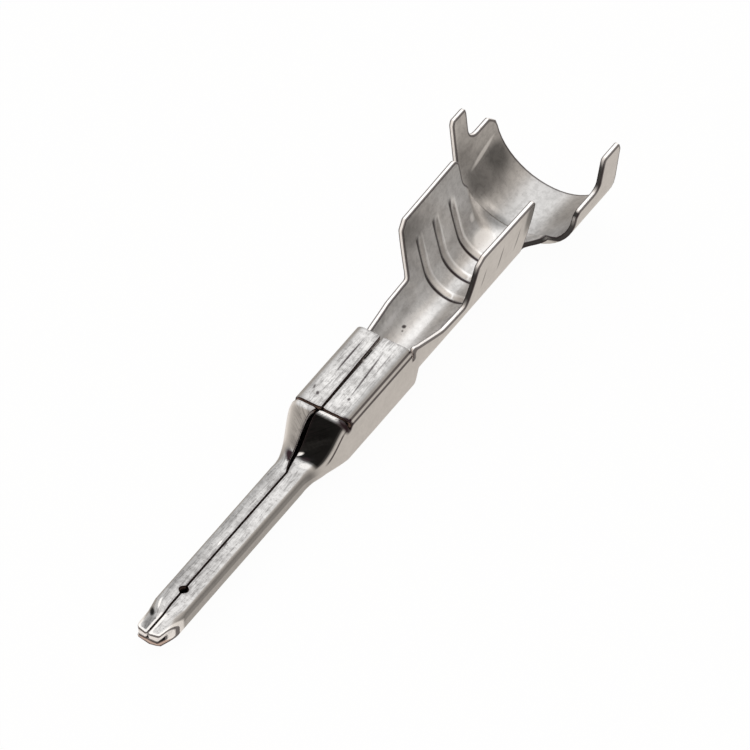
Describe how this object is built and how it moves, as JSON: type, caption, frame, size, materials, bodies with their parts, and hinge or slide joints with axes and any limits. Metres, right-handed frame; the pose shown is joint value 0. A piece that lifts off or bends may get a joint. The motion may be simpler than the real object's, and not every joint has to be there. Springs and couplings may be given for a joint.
{
  "type": "crimp pin contact",
  "caption": "Tin-plated crimp pin contact folded from one strip: flat blade, box section, open wire barrel and wider insulation barrel for a stripped lead.",
  "frame": {"origin": "centre of the bounding box in X and Y, at the height of the insulation barrel's underside", "axes": "+Y from the blade's tip towards the barrels, +Z the way the barrels open"},
  "size_m": [0.0044, 0.02, 0.0033],
  "materials": {
    "tin_plated_brass": "bright tin plating over brass, finely mottled, with bare metal showing at the cut edges"
  },
  "bodies": {
    "root": {"contact": "tin_plated_brass"}
  },
  "joints": []
}
